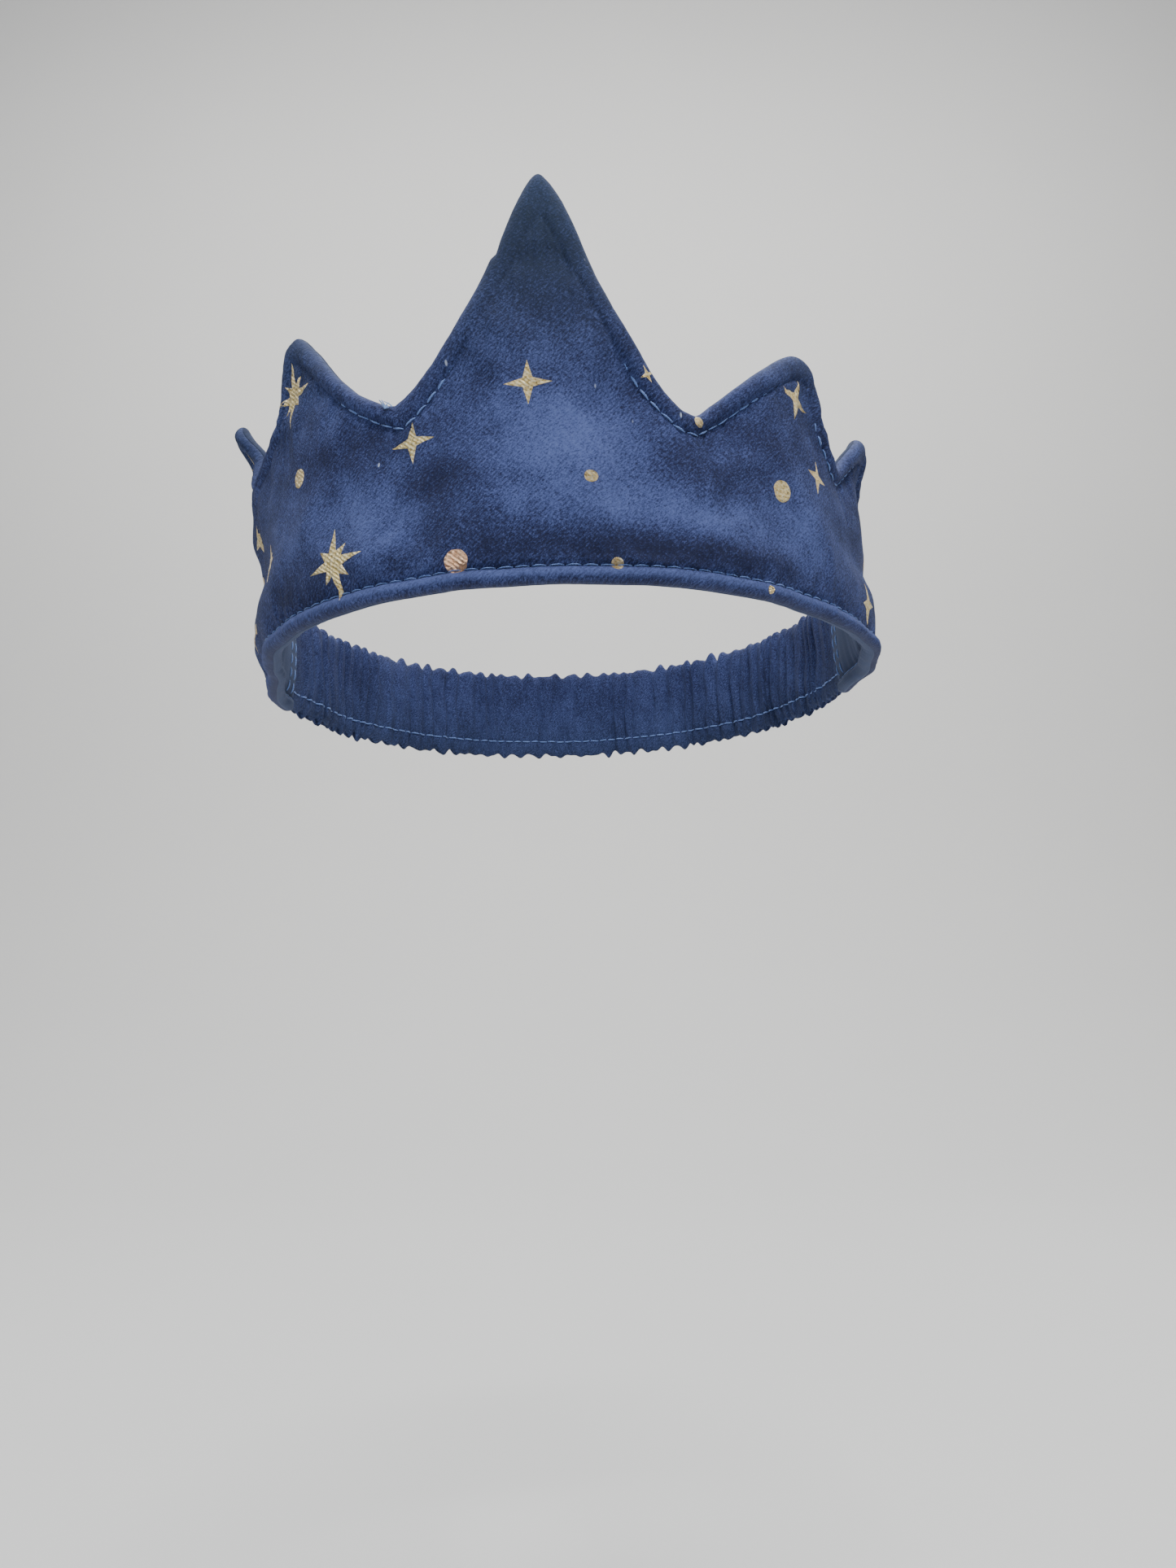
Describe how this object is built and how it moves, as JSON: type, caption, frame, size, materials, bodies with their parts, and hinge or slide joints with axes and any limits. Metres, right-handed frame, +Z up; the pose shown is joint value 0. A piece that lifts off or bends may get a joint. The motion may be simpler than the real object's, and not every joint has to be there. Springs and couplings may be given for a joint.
{
  "type": "fabric crown headband",
  "caption": "Soft fabric play crown with scalloped points, padded front panel, foil star print and an elastic back that stretches over the head.",
  "frame": {"origin": "middle of the ring on its lower rim", "axes": "+Z up along the points, the tall centre point on the -Y side, +X to the right as seen from the front"},
  "size_m": [0.1528, 0.1844, 0.081],
  "materials": {
    "navy_cotton": "brushed twill",
    "navy_lining": "plain weave",
    "fleece": "soft white fleece",
    "blue_thread": "polyester thread",
    "gold_foil": "printed foil",
    "elastic": "woven elastic"
  },
  "bodies": {
    "crown": {"outer_panel": "navy_cotton", "lining_panel": "navy_lining", "fleece_interlining": "fleece", "top_seam_thread": "blue_thread", "bottom_seam_thread": "blue_thread", "top_edge_topstitch": "blue_thread", "bottom_edge_topstitch": "blue_thread", "left_end_stitching": "blue_thread", "right_end_stitching": "blue_thread", "left_elastic_anchor": "blue_thread", "right_elastic_anchor": "blue_thread", "foil_four_point_stars": "gold_foil", "foil_eight_point_stars": "gold_foil", "foil_dots": "gold_foil", "loose_thread": "blue_thread"},
    "elastic_back": {"elastic_webbing": "elastic", "elastic_casing": "navy_cotton", "casing_seam_stitching": "blue_thread", "casing_foil_print": "gold_foil"}
  },
  "joints": [
    {"name": "elastic_stretch", "type": "slide", "parent": "crown", "child": "elastic_back", "axis": [0, 1, 0], "range_m": [0, 0.025], "stiffness_N_per_m": 60, "deforming": ["elastic_webbing"]}
  ]
}
